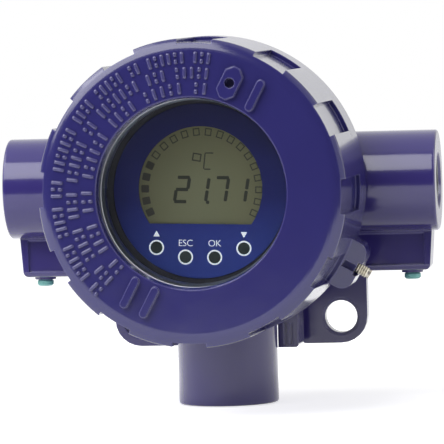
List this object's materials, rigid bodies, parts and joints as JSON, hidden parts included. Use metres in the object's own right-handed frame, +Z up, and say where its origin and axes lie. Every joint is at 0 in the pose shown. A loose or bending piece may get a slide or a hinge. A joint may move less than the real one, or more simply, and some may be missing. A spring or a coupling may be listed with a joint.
{
  "type": "field indicator",
  "caption": "Round field-mounted indicator in a cast housing with conduit bosses and wall lugs, a screw-on window cover with a lock screw, a turning display and press buttons.",
  "frame": {"origin": "midway between the two lug holes, on the wall side of the lugs", "axes": "+X to the viewer's right, +Y from the window towards the wall, +Z up"},
  "size_m": [0.15, 0.1287, 0.1277],
  "materials": {
    "casting_paint": "gloss",
    "cover_paint": "gloss",
    "gasket_rubber": "matt",
    "window_glass": "clear",
    "ring_alloy": "machined",
    "seal_rubber": "matt",
    "screw_steel": "zinc plated",
    "faceplate_film": "satin",
    "case_black": "moulded",
    "lcd": "satin",
    "frame_plastic": "moulded",
    "contact_rubber": "matt",
    "button_rubber": "matt",
    "mat_rubber": "matt",
    "board_green": "solder mask",
    "spacer_brass": "turned",
    "chip_black": "moulded",
    "clip_steel": "spring steel",
    "carrier_alloy": "stamped",
    "transmitter_black": "moulded",
    "clamp_brass": "nickel free",
    "plug_green": "moulded"
  },
  "bodies": {
    "housing_set": {"housing": "casting_paint", "display_carrier": "carrier_alloy", "carrier_screws": "screw_steel", "head_transmitter": "transmitter_black", "transmitter_screws": "screw_steel", "terminal_clamps": "clamp_brass", "terminal_screws": "screw_steel", "earth_clamp": "clamp_brass", "earth_screw": "screw_steel", "earth_plug_left": "plug_green", "earth_plug_right": "plug_green"},
    "cover_seal": {"cover_oring": "seal_rubber"},
    "cover_set": {"cover": "cover_paint", "window_gasket": "gasket_rubber", "window_glass": "window_glass", "glass_retainer": "ring_alloy"},
    "lock_screw": {"cover_lock_screw": "screw_steel"},
    "display": {"faceplate": "faceplate_film", "display_front_shell": "case_black", "display_rear_shell": "case_black", "lcd_glass": "lcd", "lcd_frame": "frame_plastic", "lcd_contact_strip": "contact_rubber", "button_mat": "mat_rubber", "display_board": "board_green", "board_spacers": "spacer_brass", "main_board": "board_green", "board_chips": "chip_black", "display_screws": "screw_steel", "hub_clip": "clip_steel"},
    "button_up_key": {"button_up": "button_rubber"},
    "button_esc_key": {"button_esc": "button_rubber"},
    "button_ok_key": {"button_ok": "button_rubber"},
    "button_down_key": {"button_down": "button_rubber"}
  },
  "joints": [
    {"name": "cover_travel", "type": "slide", "parent": "housing_set", "child": "cover_seal", "axis": [0, -1, 0], "range_m": [0, 0.016]},
    {"name": "cover_turn", "type": "hinge", "parent": "cover_seal", "child": "cover_set", "pos_m": [0, -0.087, 0.0492], "axis": [0, -1, 0], "range_deg": [0, 2880]},
    {"name": "lock_screw_travel", "type": "slide", "parent": "cover_set", "child": "lock_screw", "axis": [-0.866, 0, 0.5], "range_m": [0, 0.0026]},
    {"name": "display_turn", "type": "hinge", "parent": "housing_set", "child": "display", "pos_m": [0, -0.0685, 0.0492], "axis": [0, -1, 0], "range_deg": [-170, 170]},
    {"name": "button_up_press", "type": "slide", "parent": "display", "child": "button_up_key", "axis": [0, 1, 0], "range_m": [0, 0.0004], "stiffness_N_per_m": 300, "springref_m": -0.001},
    {"name": "button_esc_press", "type": "slide", "parent": "display", "child": "button_esc_key", "axis": [0, 1, 0], "range_m": [0, 0.0004], "stiffness_N_per_m": 300, "springref_m": -0.001},
    {"name": "button_ok_press", "type": "slide", "parent": "display", "child": "button_ok_key", "axis": [0, 1, 0], "range_m": [0, 0.0004], "stiffness_N_per_m": 300, "springref_m": -0.001},
    {"name": "button_down_press", "type": "slide", "parent": "display", "child": "button_down_key", "axis": [0, 1, 0], "range_m": [0, 0.0004], "stiffness_N_per_m": 300, "springref_m": -0.001}
  ],
  "couplings": [
    {"joint": "cover_travel", "follows": "cover_turn", "m_per_rad": 0.00031831}
  ]
}
